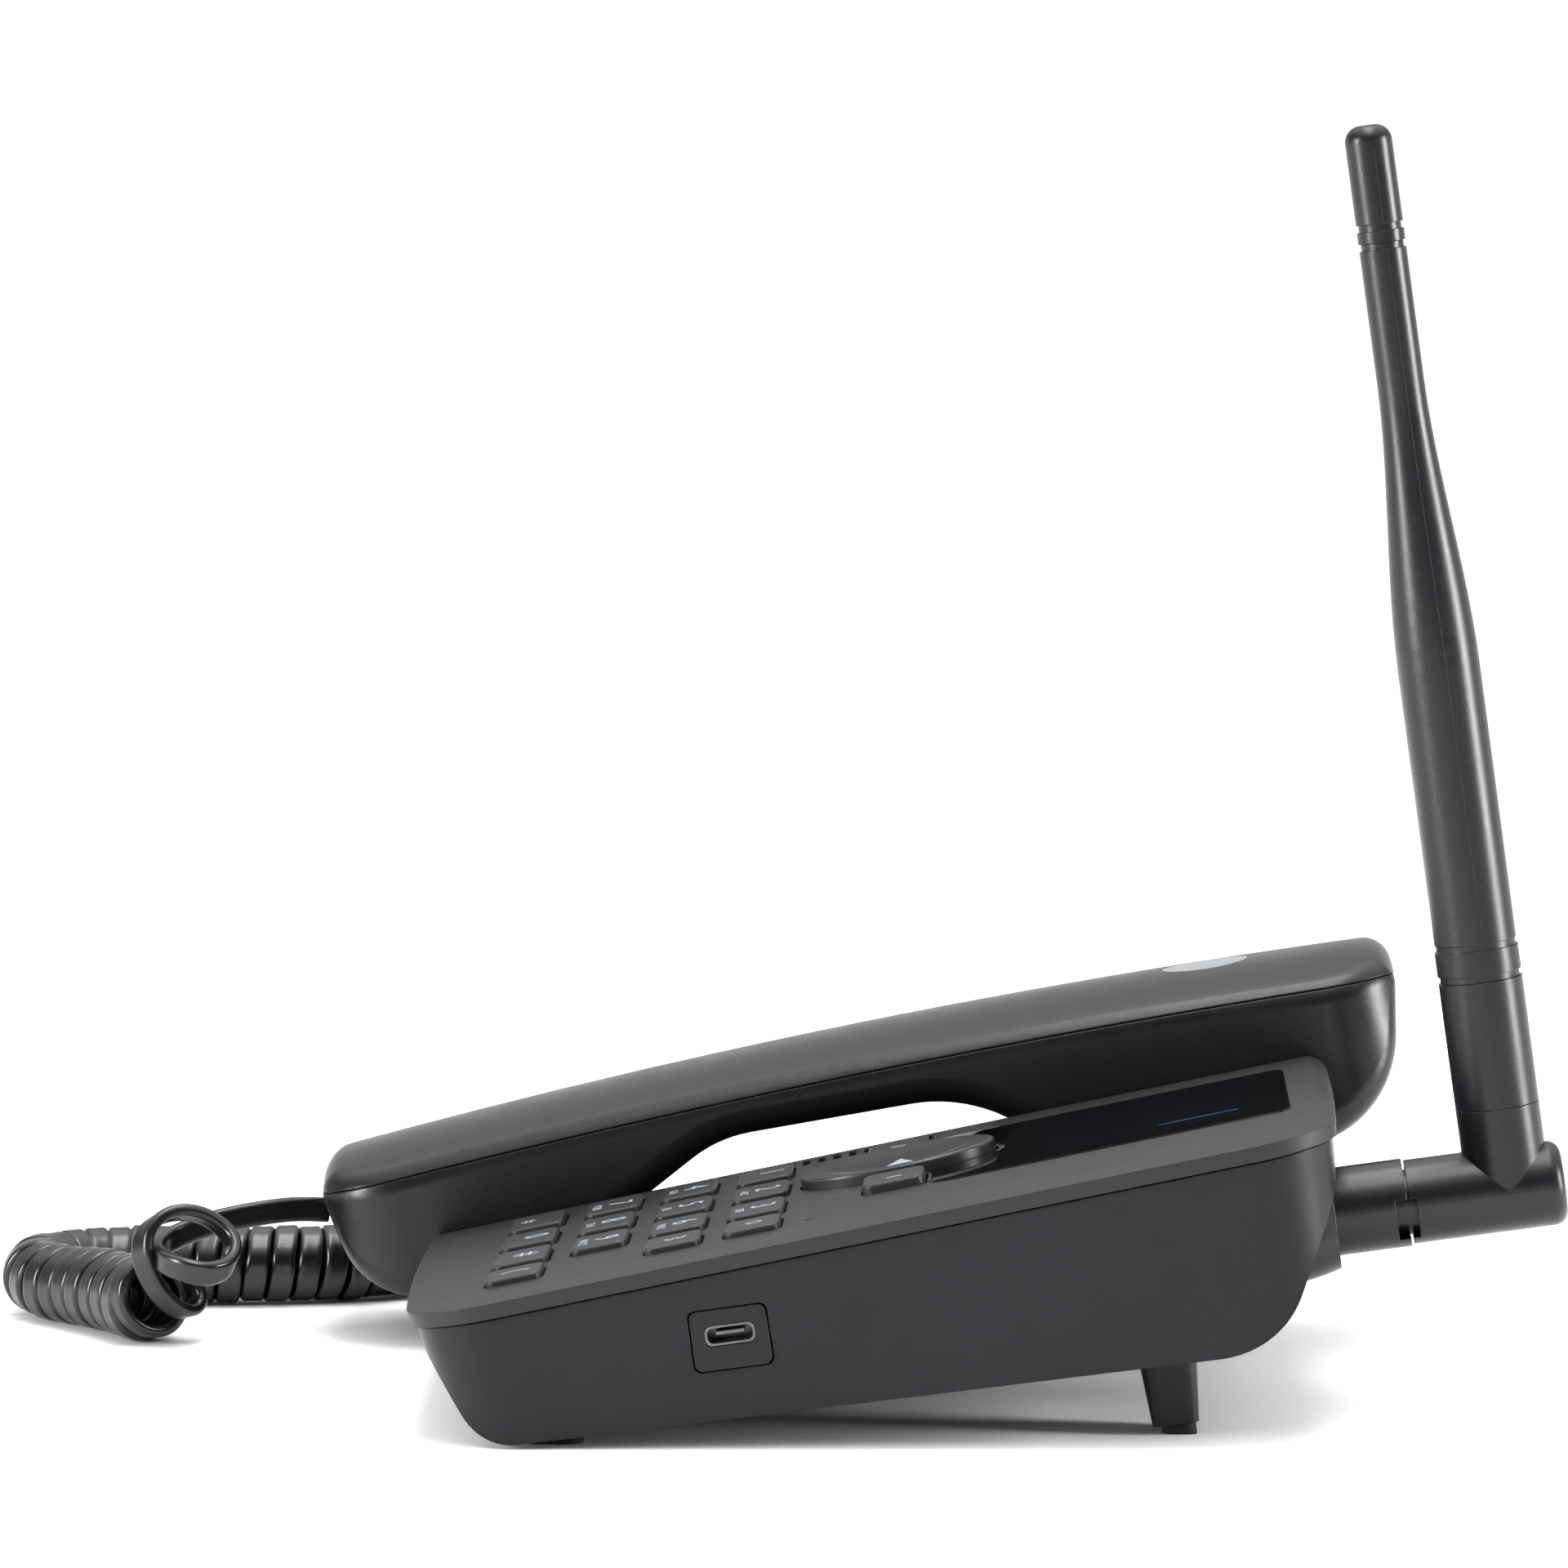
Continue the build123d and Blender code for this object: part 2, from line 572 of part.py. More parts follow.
def make_mount():
    """The antenna mount and the fixed drum that the arm turns on."""
    mount = to_arm * mount_form(0)
    inside = to_desk * base_block(cover_overhang + wall + 1.0)
    bore = to_arm * rod(0, -60, boss_end + 1, 0, drum_radius + 0.05)
    window = to_arm * bar(0, 10, boss_end - 1.9, boss_end + 1, -5.2, 1.4)
    save(mount - inside - bore - window, "antenna_mount")
    drum = to_arm * (rod(0, -27, -6.0, 0, drum_radius) - rod(0, -28, -5, 0, 2.0))
    save(drum, "antenna_drum")
    save(to_arm * (rod(0, -31, -8.0, 0, 1.5)), "antenna_coax")


# ---- handset cord, desk frame
def corner_radii(points, share=0.45):
    """The largest even radius at each corner of a route of points."""
    radii = []
    for before, here, after in zip(points, points[1:], points[2:]):
        first, second = here - before, after - here
        turn = math.radians(first.get_angle(second))
        radii.append(share * min(first.length, second.length) / math.tan(turn / 2))
    return radii


def route_tube(route, diameter):
    """A round tube along a route, with its radii and its volume printed."""
    points = [Vector(*spot) for spot in route]
    radii = corner_radii(points)
    path = FilletPolyline(*points, radius=radii)
    start = Plane(origin=path @ 0, z_dir=path % 0)
    tube = sweep(start * Circle(diameter / 2), path=path)
    ratio = tube.volume / (math.pi * diameter ** 2 / 4 * path.length)
    rounded = [round(radius, 1) for radius in radii]
    print("route", round(path.length, 1), "radii", rounded, "volume ratio", round(ratio, 4))
    return tube


def make_cord():
    """The curly cord at rest on the desk and its straight ends."""
    save(route_tube(coil_route, coil_diameter), "cord_coil")
    save(route_tube(base_lead_route, cord_width), "cord_lead_base")
    save(route_tube(handset_lead_route, cord_width), "cord_lead_handset")


coil_route = [(-97, -70, cord_height), (-95, -84, cord_height), (-80, -97, cord_height),
              (-71, -116, cord_height), (-70, -140, cord_height), (-52, -157, cord_height),
              (-31, -147, cord_height), (-30, -132, cord_height)]
base_lead_route = [(-78.2, -49.1, 9.2), (-90, -49.1, 8.8), (-98.714, -58, cord_height),
                   (-97, -70, cord_height)]
handset_lead_route = [(-47, -103.6, 20.3), (-47, -109, 19.3), (-42, -115, 16.5), (-33, -120, 10.0),
                      (-29.6, -126, cord_height), (-30, -132, cord_height)]

os.makedirs("parts", exist_ok=True)
save(to_desk * make_top_cover(), "top_cover")
save(to_desk * make_lower_housing() - to_arm * mount_form(0.1), "lower_housing")
make_keys()
make_inner_pieces()
make_sockets()
make_under_pieces()
make_hook()
make_handset()
make_antenna()
make_mount()
make_cord()
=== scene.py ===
import bpy
import bmesh
import json
import math
from mathutils import Matrix, Vector


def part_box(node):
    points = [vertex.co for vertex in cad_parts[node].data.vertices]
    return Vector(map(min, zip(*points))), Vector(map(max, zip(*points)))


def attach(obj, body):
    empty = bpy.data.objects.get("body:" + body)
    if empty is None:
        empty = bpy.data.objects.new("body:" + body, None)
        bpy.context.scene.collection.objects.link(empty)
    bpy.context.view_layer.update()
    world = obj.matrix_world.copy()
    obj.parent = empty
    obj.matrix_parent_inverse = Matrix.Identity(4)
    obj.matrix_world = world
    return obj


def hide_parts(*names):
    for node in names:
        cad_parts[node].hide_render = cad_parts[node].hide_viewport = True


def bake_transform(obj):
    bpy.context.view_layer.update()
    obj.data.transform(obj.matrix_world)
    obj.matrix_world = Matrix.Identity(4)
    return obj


# Corded desk phone with a rod antenna: finishes, printed key marks, curly cord and small hardware
# on top of the CAD frame. Lengths in the dictionaries are millimetres, unless a note says metres;
# angles are degrees.

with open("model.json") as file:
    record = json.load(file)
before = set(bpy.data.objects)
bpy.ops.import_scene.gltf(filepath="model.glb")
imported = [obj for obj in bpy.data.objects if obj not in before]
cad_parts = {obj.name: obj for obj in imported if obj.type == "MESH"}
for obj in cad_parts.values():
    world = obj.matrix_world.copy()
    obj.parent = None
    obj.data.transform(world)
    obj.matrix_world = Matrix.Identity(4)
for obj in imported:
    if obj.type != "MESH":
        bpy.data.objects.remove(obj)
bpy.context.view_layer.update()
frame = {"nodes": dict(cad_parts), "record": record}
nodes = frame["nodes"]
mm = 0.001
print("frame loaded,", len(nodes), "CAD nodes")

# The keypad deck leans back. Pieces on it are placed as (across, along, above) in millimetres.
deck = {"frontY": -80.2, "frontZ": 20.6, "tilt": 12.0}
deckPlace = Matrix.Translation((0, deck["frontY"] * mm, deck["frontZ"] * mm))
deckPlace = deckPlace @ Matrix.Rotation(math.radians(deck["tilt"]), 4, "X")


def onDeck(x, y, z):
    return deckPlace @ Vector((x * mm, y * mm, z * mm))


def deckCentre(node):
    # middle of a CAD node, in deck millimetres
    low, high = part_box(node)
    return (deckPlace.inverted() @ ((low + high) / 2)) / mm


camera = {"place": (1267.26, 21.99, 212.8), "yaw": 2.1, "pitch": 5.2, "lens": 180}
studio = {
    "floorSize": 60.0, "floorTone": (0.93, 0.935, 0.94),
    # how bright the sky is at each height above the horizon in degrees, behind the phone and in front of it
    "skyBehind": [(-90, 1.0), (0.0, 1.2), (1.5, 1.2), (8.0, 0.85), (30.0, 0.50), (44.0, 1.9), (90.0, 2.3)],
    "skyInFront": [(-90, 0.5), (0.0, 0.3), (1.5, 0.2), (8.0, 0.12), (34.0, 0.14), (50.0, 1.6), (90.0, 2.3)],
}
lamps = {
    # name: (place, width and height, all in metres, watts)
    "leftStrip": ((0.75, -1.35, 0.36), (0.35, 0.70), 30),
    "rightStrip": ((0.25, 1.45, 0.36), (0.35, 0.70), 30),
    "topSoftbox": ((0.10, 0.0, 1.40), (0.50, 1.30), 16),
}


def makeCamera():
    data = bpy.data.cameras.new("phoneCamera")
    data.lens = camera["lens"]
    data.sensor_width = 36
    data.clip_start = 0.02
    data.clip_end = 60
    rig = bpy.data.objects.new("phoneCamera", data)
    bpy.context.scene.collection.objects.link(rig)
    yaw, pitch = math.radians(camera["yaw"]), math.radians(camera["pitch"])
    look = Vector((-math.cos(yaw) * math.cos(pitch), -math.sin(yaw) * math.cos(pitch), -math.sin(pitch)))
    rig.location = Vector(camera["place"]) * mm
    rig.rotation_mode = "QUATERNION"
    rig.rotation_quaternion = look.to_track_quat("-Z", "Y")
    bpy.context.scene.camera = rig


def skyRamp(tree, height, levels):
    # brightness by height above the horizon
    ramp = tree.nodes.new("ShaderNodeValToRGB")
    tree.links.new(height, ramp.inputs["Fac"])
    while len(ramp.color_ramp.elements) < len(levels):
        ramp.color_ramp.elements.new(1.0)
    brightest = max(level for angle, level in levels)
    for element, (angle, level) in zip(ramp.color_ramp.elements, levels):
        element.position = (math.sin(math.radians(angle)) + 1) / 2
        element.color = (level / brightest, level / brightest, level / brightest, 1)
    return ramp.outputs["Color"], brightest


def makeSky():
    # a white backdrop behind the phone, a dark room in front of it and a wide softbox overhead
    world = bpy.data.worlds.new("softSky")
    world.use_nodes = True
    tree = world.node_tree
    coords = tree.nodes.new("ShaderNodeTexCoord")
    split = tree.nodes.new("ShaderNodeSeparateXYZ")
    height = tree.nodes.new("ShaderNodeMapRange")
    height.inputs["From Min"].default_value = -1
    front = tree.nodes.new("ShaderNodeMapRange")
    front.inputs["From Min"].default_value = -0.35
    front.inputs["From Max"].default_value = 0.15
    tree.links.new(coords.outputs["Generated"], split.inputs["Vector"])
    tree.links.new(split.outputs["Z"], height.inputs["Value"])
    tree.links.new(split.outputs["X"], front.inputs["Value"])
    backColour, backLevel = skyRamp(tree, height.outputs["Result"], studio["skyBehind"])
    frontColour, frontLevel = skyRamp(tree, height.outputs["Result"], studio["skyInFront"])
    behind = tree.nodes["Background"]
    ahead = tree.nodes.new("ShaderNodeBackground")
    join = tree.nodes.new("ShaderNodeMixShader")
    tree.links.new(backColour, behind.inputs["Color"])
    behind.inputs["Strength"].default_value = backLevel
    tree.links.new(frontColour, ahead.inputs["Color"])
    ahead.inputs["Strength"].default_value = frontLevel
    tree.links.new(front.outputs["Result"], join.inputs["Fac"])
    tree.links.new(behind.outputs["Background"], join.inputs[1])
    tree.links.new(ahead.outputs["Background"], join.inputs[2])
    tree.links.new(join.outputs["Shader"], tree.nodes["World Output"].inputs["Surface"])
    bpy.context.scene.world = world


def makeStudio():
    size = studio["floorSize"]
    floorMesh = bpy.data.meshes.new("studioFloor")
    corners = [(-size, -size, 0), (size, -size, 0), (size, size, 0), (-size, size, 0)]
    floorMesh.from_pydata(corners, [], [(0, 1, 2, 3)])
    floor = bpy.data.objects.new("studioFloor", floorMesh)
    bpy.context.scene.collection.objects.link(floor)
    paper = bpy.data.materials.new("paleFloor")
    paper.use_nodes = True
    shader = paper.node_tree.nodes["Principled BSDF"]
    shader.inputs["Base Color"].default_value = (*studio["floorTone"], 1)
    shader.inputs["Roughness"].default_value = 0.85
    floorMesh.materials.append(paper)
    makeSky()
    for name, (place, size, power) in lamps.items():
        data = bpy.data.lights.new(name, "AREA")
        data.shape = "RECTANGLE"
        data.size, data.size_y = size
        data.energy = power
        lamp = bpy.data.objects.new(name, data)
        bpy.context.scene.collection.objects.link(lamp)
        lamp.location = place
        aim = Vector((0, 0, 0.06)) - Vector(place)
        lamp.rotation_mode = "QUATERNION"
        lamp.rotation_quaternion = aim.to_track_quat("-Z", "Y")
    bpy.context.scene.view_settings.view_transform = "Standard"


makeCamera()
makeStudio()
print("camera and lights set")


class Wiring:
    # short hand for joining shader nodes

    def __init__(self, name):
        self.material = bpy.data.materials.new(name)
        self.material.use_nodes = True
        self.tree = self.material.node_tree
        self.shader = self.tree.nodes["Principled BSDF"]

    def add(self, kind, **values):
        node = self.tree.nodes.new(kind)
        for key, value in values.items():
            setattr(node, key, value)
        return node

    def link(self, source, target):
        self.tree.links.new(source, target)

    def noise(self, coords, scale, detail=2.0, rough=0.5):
        node = self.add("ShaderNodeTexNoise")
        node.inputs["Scale"].default_value = scale
        node.inputs["Detail"].default_value = detail
        node.inputs["Roughness"].default_value = rough
        self.link(coords, node.inputs["Vector"])
        return node.outputs["Fac"]

    def span(self, source, low, high, fromLow=0.3, fromHigh=0.7):
        node = self.add("ShaderNodeMapRange")
        node.inputs["From Min"].default_value = fromLow
        node.inputs["From Max"].default_value = fromHigh
        node.inputs["To Min"].default_value = low
        node.inputs["To Max"].default_value = high
        self.link(source, node.inputs["Value"])
        return node.outputs["Result"]

    def blendColour(self, factor, first, second):
        node = self.add("ShaderNodeMix", data_type="RGBA")
        for socket, value in (("A_Color", first), ("B_Color", second)):
            place = [entry for entry in node.inputs if entry.identifier == socket][0]
            if isinstance(value, tuple):
                place.default_value = (*value, 1)
            else:
                self.link(value, place)
        self.link(factor, [entry for entry in node.inputs if entry.identifier == "Factor_Float"][0])
        return [entry for entry in node.outputs if entry.identifier == "Result_Color"][0]


def mouldedFinish(name, look):
    # moulded plastic: fine grain, uneven sheen, faint cloudiness and edges rubbed lighter
    wiring = Wiring(name)
    coords = wiring.add("ShaderNodeTexCoord").outputs["Object"]
    cloud = wiring.noise(coords, 28, 3)
    speck = wiring.noise(coords, look.get("speckScale", 2600), 2, 0.6)
    smear = wiring.noise(coords, 95, 4, 0.6)
    tone, lift = look["tone"], look.get("lift", 1.35)
    light = tuple(value * lift for value in tone)
    body = wiring.blendColour(wiring.span(cloud, 0, 1), tone, light)
    fleck = tuple(value * look.get("fleck", 1.5) for value in tone)
    body = wiring.blendColour(wiring.span(speck, 0, 0.6, 0.5, 0.75), body, fleck)
    rounded = wiring.add("ShaderNodeBevel", samples=4)
    rounded.inputs["Radius"].default_value = look.get("edge", 0.35) * mm
    facing = wiring.add("ShaderNodeNewGeometry")
    turn = wiring.add("ShaderNodeVectorMath", operation="DOT_PRODUCT")
    wiring.link(rounded.outputs["Normal"], turn.inputs[0])
    wiring.link(facing.outputs["Normal"], turn.inputs[1])
    worn = wiring.span(turn.outputs["Value"], look.get("wear", 0.35), 0, 0.75, 0.97)
    rubbed = wiring.add("ShaderNodeMath", operation="MULTIPLY")
    wiring.link(worn, rubbed.inputs[0])
    wiring.link(wiring.span(smear, 0.2, 1), rubbed.inputs[1])
    bright = tuple(min(1, value * 2.6 + 0.01) for value in tone)
    body = wiring.blendColour(rubbed.outputs[0], body, bright)
    wiring.link(body, wiring.shader.inputs["Base Color"])
    low, high = look["rough"]
    wiring.link(wiring.span(smear, low, high, 0.25, 0.75), wiring.shader.inputs["Roughness"])
    grain = wiring.noise(coords, look.get("grainScale", 3200), 3, 0.65)
    bump = wiring.add("ShaderNodeBump")
    bump.inputs["Strength"].default_value = look.get("grain", 0.35)
    bump.inputs["Distance"].default_value = look.get("grainDepth", 0.05) * mm
    wiring.link(grain, bump.inputs["Height"])
    wiring.link(rounded.outputs["Normal"], bump.inputs["Normal"])
    wiring.link(bump.outputs["Normal"], wiring.shader.inputs["Normal"])
    wiring.shader.inputs["Specular IOR Level"].default_value = look.get("specular", 0.5)
    return wiring.material


def metalFinish(name, look):
    # plain metal with fine drawn lines and small stains
    wiring = Wiring(name)
    coords = wiring.add("ShaderNodeTexCoord").outputs["Object"]
    stretch = wiring.add("ShaderNodeMapping")
    stretch.inputs["Scale"].default_value = (1, 1, 14)
    wiring.link(coords, stretch.inputs["Vector"])
    lines = wiring.noise(stretch.outputs["Vector"], 900, 4, 0.7)
    stain = wiring.noise(coords, 160, 3)
    tone = look["tone"]
    dull = tuple(value * 0.6 for value in tone)
    body = wiring.blendColour(wiring.span(stain, 0, 1), tone, dull)
    wiring.link(body, wiring.shader.inputs["Base Color"])
    wiring.shader.inputs["Metallic"].default_value = 1.0
    low, high = look["rough"]
    wiring.link(wiring.span(lines, low, high), wiring.shader.inputs["Roughness"])
    bump = wiring.add("ShaderNodeBump")
    bump.inputs["Strength"].default_value = 0.25
    bump.inputs["Distance"].default_value = 0.02 * mm
    wiring.link(lines, bump.inputs["Height"])
    wiring.link(bump.outputs["Normal"], wiring.shader.inputs["Normal"])
    return wiring.material


plastics = {
    "charcoalHousing": {"tone": (0.0052, 0.0063, 0.0076), "rough": (0.34, 0.44), "grain": 0.30,
                        "specular": 0.20},
    # deck cover: its own satin finish, with a tone set lighter than the charcoal housing's that is painted
    # light falling on the deck from above
    "deckSatinPaintedLight": {"tone": (0.0085, 0.0096, 0.0108), "rough": (0.42, 0.52), "grain": 0.35, "specular": 0.3},
    "handsetSatin": {"tone": (0.0032, 0.0038, 0.0045), "rough": (0.26, 0.34), "grain": 0.40,
                     "grainDepth": 0.05, "fleck": 2.6, "specular": 0.32},
    "antennaSatin": {"tone": (0.0038, 0.0045, 0.0055), "rough": (0.26, 0.34), "grain": 0.45,
                     "grainDepth": 0.05, "fleck": 2.8, "edge": 0.2, "specular": 0.35},
    "keySatin": {"tone": (0.0120, 0.0132, 0.0148), "rough": (0.36, 0.46), "grain": 0.25, "edge": 0.25,
                 "specular": 0.35},
    "navSatin": {"tone": (0.0110, 0.0120, 0.0135), "rough": (0.28, 0.36), "grain": 0.18, "edge": 0.3,
                 "specular": 0.4},
    "lensBlack": {"tone": (0.0014, 0.0014, 0.0017), "rough": (0.03, 0.06), "grain": 0.03, "edge": 0.3,
                  "fleck": 1.1, "wear": 0.5, "specular": 0.2},
    "windowBlack": {"tone": (0.0014, 0.0017, 0.0028), "rough": (0.05, 0.09), "grain": 0.02, "edge": 0.05,
                    "fleck": 1.2, "wear": 0.0, "specular": 0.2},
    # painted glow: a flat blue colour on a strip that stands in for the display's lit edge, no lamp
    "paintedGlowBlue": {"tone": (0.012, 0.05, 0.14), "rough": (0.10, 0.2), "grain": 0.05, "edge": 0.05,
                   "wear": 0.0},
    "badgeGrey": {"tone": (0.20, 0.21, 0.22), "rough": (0.30, 0.4), "grain": 0.15, "fleck": 1.1, "lift": 1.1,
                  "specular": 0.3},
    "footRubber": {"tone": (0.004, 0.004, 0.0045), "rough": (0.65, 0.85), "grain": 0.7, "grainScale": 1500,
                   "specular": 0.25},
    "cordGloss": {"tone": (0.0030, 0.0031, 0.0036), "rough": (0.22, 0.30), "grain": 0.12, "grainScale": 1800,
                  "fleck": 1.4, "edge": 0.1, "wear": 0.12, "specular": 0.5},
    "plugSmoke": {"tone": (0.012, 0.012, 0.014), "rough": (0.12, 0.2), "grain": 0.08},
    "socketBlack": {"tone": (0.0030, 0.0033, 0.0036), "rough": (0.35, 0.5), "grain": 0.3, "edge": 0.2,
                    "specular": 0.3},
    "boardGreen": {"tone": (0.01, 0.09, 0.035), "rough": (0.3, 0.45), "grain": 0.3, "grainScale": 900},
    "batterySleeve": {"tone": (0.05, 0.07, 0.12), "rough": (0.25, 0.4), "grain": 0.3, "grainScale": 500},
    "displayGlass": {"tone": (0.05, 0.07, 0.05), "rough": (0.08, 0.15), "grain": 0.05},
    "coneBlack": {"tone": (0.012, 0.012, 0.012), "rough": (0.6, 0.8), "grain": 0.8, "grainScale": 1200},
    "markPaint": {"tone": (0.26, 0.275, 0.29), "rough": (0.45, 0.6), "grain": 0.15, "fleck": 1.15,
                  "lift": 1.1,
                  "edge": 0.03, "wear": 0.0, "specular": 0.25},
}
metals = {
    "portSteel": {"tone": (0.16, 0.165, 0.17), "rough": (0.30, 0.45)},
    "contactGold": {"tone": (0.80, 0.55, 0.22), "rough": (0.2, 0.35)},
}
finishes = {name: mouldedFinish(name, look) for name, look in plastics.items()}
finishes.update({name: metalFinish(name, look) for name, look in metals.items()})

finishOfSlot = {
    "housing_plastic": "charcoalHousing", "cover_plastic": "deckSatinPaintedLight", "mount_plastic": "antennaSatin",
    "handset_plastic": "handsetSatin", "antenna_plastic": "antennaSatin", "key_plastic": "keySatin",
    "lens_gloss": "lensBlack", "badge_grey": "badgeGrey", "rubber": "footRubber", "cord_black": "cordGloss",
    "plug_plastic": "plugSmoke", "socket_plastic": "socketBlack", "steel": "portSteel",
    "board_green": "boardGreen", "battery_sleeve": "batterySleeve", "lcd_glass": "displayGlass",
    "speaker_black": "coneBlack", "brass": "contactGold",
}
ownFinish = {"nav_key": "navSatin"}


def paintNodes():
    for entry in frame["record"]["subparts"]:
        name = entry["node"]
        finish = ownFinish.get(name, finishOfSlot[entry["material_slot"]])
        mesh = nodes[name].data
        mesh.materials.clear()
        mesh.materials.append(finishes[finish])


paintNodes()
print("finishes made,", len(finishes))


def addPiece(name, mesh, finish, body):
    mesh.materials.clear()
    mesh.materials.append(finishes[finish])
    piece = bpy.data.objects.new(name, mesh)
    bpy.context.scene.collection.objects.link(piece)
    if body:
        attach(piece, body)
    return piece


def readLine(route, steps=24):
    # points along the smooth spline of a route
    data = bpy.data.curves.new("guide", "CURVE")
    data.dimensions = "3D"
    data.resolution_u = steps
    spline = data.splines.new("NURBS")
    spline.points.add(len(route) - 1)
    for point, spot in zip(spline.points, route):
        point.co = (*spot, 1)
    spline.order_u = 3
    spline.use_endpoint_u = True
    guide = bpy.data.objects.new("guide", data)
    bpy.context.scene.collection.objects.link(guide)
    depsgraph = bpy.context.evaluated_depsgraph_get()
    mesh = bpy.data.meshes.new_from_object(guide.evaluated_get(depsgraph))
    line = [vertex.co.copy() for vertex in mesh.vertices]
    bpy.data.meshes.remove(mesh)
    bpy.data.objects.remove(guide)
    bpy.data.curves.remove(data)
    return line


def evenLine(line, step):
    # the same line with points a fixed step apart
    spots = [line[0].copy()]
    carry = 0.0
    for start, end in zip(line, line[1:]):
        run = (end - start).length
        if run < 1e-9:
            continue
        along = step - carry
        while along <= run:
            spots.append(start.lerp(end, along / run))
            along += step
        carry = run - (along - step)
    spots.append(line[-1].copy())
    return spots


def lineLength(line):
    return sum((b - a).length for a, b in zip(line, line[1:]))


def ease(share):
    share = min(1.0, max(0.0, share))
    return share * share * (3 - 2 * share)


def flatShape(outline, thick, place):
    # a thin closed plate from a flat outline in millimetres, put on place(x, y, z)
    mesh = bpy.data.meshes.new("plate")
    shape = bmesh.new()
    low = [shape.verts.new(place(x, y, 0)) for x, y in outline]
    high = [shape.verts.new(place(x, y, thick)) for x, y in outline]
    shape.faces.new(high)
    shape.faces.new(list(reversed(low)))
    count = len(outline)
    for i in range(count):
        shape.faces.new((low[i], low[(i + 1) % count], high[(i + 1) % count], high[i]))
    bmesh.ops.recalc_face_normals(shape, faces=shape.faces)
    shape.to_mesh(mesh)
    shape.free()
    return mesh


def joinMeshes(name, meshes):
    shape = bmesh.new()
    for mesh in meshes:
        shape.from_mesh(mesh)
        bpy.data.meshes.remove(mesh)
    joined = bpy.data.meshes.new(name)
    shape.to_mesh(joined)
    shape.free()
    return joined


curlyCord = {
    # lengths in metres
    "width": 0.0042, "thick": 0.0021, "edgeRound": 0.0009, "across": 0.0132, "looseAcross": 0.0144,
    "turns": 31.6, "pointsPerTurn": 20, "startAngle": 215, "looseTurns": 7.0, "loosePitch": 1.15,
    "tilt": 0.08, "firstPitch": 2.6, "firstTurns": 0.8, "wobble": 0.00012,
    # from the plug in the base's left wall: a place, and which way the flat cord is wide
    "baseRoute": [((-0.0782, -0.0491, 0.0092), (0.1, 1, 0)), ((-0.090, -0.0491, 0.0088), (0.1, 1, 0.1)),
                  ((-0.098714, -0.058, 0.0067), (0.2, 0.6, 0.6))],
    "coilRoute": [(-0.097, -0.070, 0.0067), (-0.095, -0.084, 0.0067), (-0.080, -0.097, 0.0067),
                  (-0.073, -0.117, 0.0067), (-0.075, -0.146, 0.0067), (-0.060, -0.158, 0.0067),
                  (-0.044, -0.141, 0.0067), (-0.030, -0.132, 0.0067)],
    # the last loose loops and the lead to the handset: a place, and which way the flat cord is wide
    "looseRoute": [
        ((-0.0330, -0.1274, 0.0050), (0.80, 0.55, 0.12)), ((-0.0318, -0.1292, 0.0022), (0.80, 0.55, 0.14)),
        ((-0.0292, -0.1324, 0.0019), (0.78, 0.58, 0.16)), ((-0.0272, -0.1356, 0.0042), (0.76, 0.60, 0.18)),
        ((-0.0266, -0.1372, 0.0080), (0.74, 0.62, 0.20)), ((-0.0272, -0.1364, 0.0118), (0.70, 0.66, 0.22)),
        ((-0.0294, -0.1330, 0.0142), (0.66, 0.70, 0.24)), ((-0.0320, -0.1290, 0.0136), (0.62, 0.74, 0.24)),
        ((-0.0336, -0.1256, 0.0104), (0.58, 0.76, 0.26)), ((-0.0326, -0.1240, 0.0066), (0.54, 0.78, 0.28)),
        ((-0.0290, -0.1258, 0.0050), (0.50, 0.80, 0.30)), ((-0.0254, -0.1296, 0.0082), (0.50, 0.80, 0.28)),
        ((-0.0236, -0.1324, 0.0142), (0.50, 0.82, 0.24)),
        ((-0.0246, -0.1326, 0.0194), (0.60, 0.75, 0.30)), ((-0.0268, -0.1296, 0.0222), (0.75, 0.45, 0.42)),
        ((-0.0285, -0.1256, 0.0227), (0.82, 0.25, 0.48)), ((-0.0292, -0.1216, 0.0214), (0.80, 0.30, 0.48)),
        ((-0.0286, -0.1184, 0.0188), (0.74, 0.40, 0.50)), ((-0.0262, -0.1172, 0.0160), (0.60, 0.40, 0.68)),
        ((-0.0222, -0.1182, 0.0139), (0.40, 0.25, 0.87)), ((-0.0188, -0.1212, 0.0134), (0.25, 0.10, 0.95)),
        ((-0.0186, -0.1252, 0.0143), (0.15, 0.00, 0.98)), ((-0.0216, -0.1290, 0.0152), (0.08, 0.00, 1.00)),
        ((-0.0268, -0.1306, 0.0160), (0.04, 0.00, 1.00)), ((-0.0316, -0.1292, 0.0172), (0.00, 0.00, 1.00)),
        ((-0.0350, -0.1252, 0.0187), (0.00, 0.00, 1.00)), ((-0.0382, -0.1200, 0.0199), (0.00, 0.00, 1.00)),
        ((-0.0420, -0.1126, 0.0208), (0.00, 0.00, 1.00)), ((-0.0452, -0.1075, 0.0208), (0.00, 0.00, 1.00)),
        ((-0.0470, -0.1036, 0.0203), (0.00, 0.00, 1.00)),
    ],
    "cornerPoints": 6, "hollow": 0.03, "floorGap": 0.0001,
}


def coilAxis():
    # the middle of the coil, points close together, with the distance gone at each
    axis = evenLine(readLine(curlyCord["coilRoute"]), 0.25 * mm)
    gone = [0.0]
    for start, end in zip(axis, axis[1:]):
        gone.append(gone[-1] + (end - start).length)
    return axis, gone


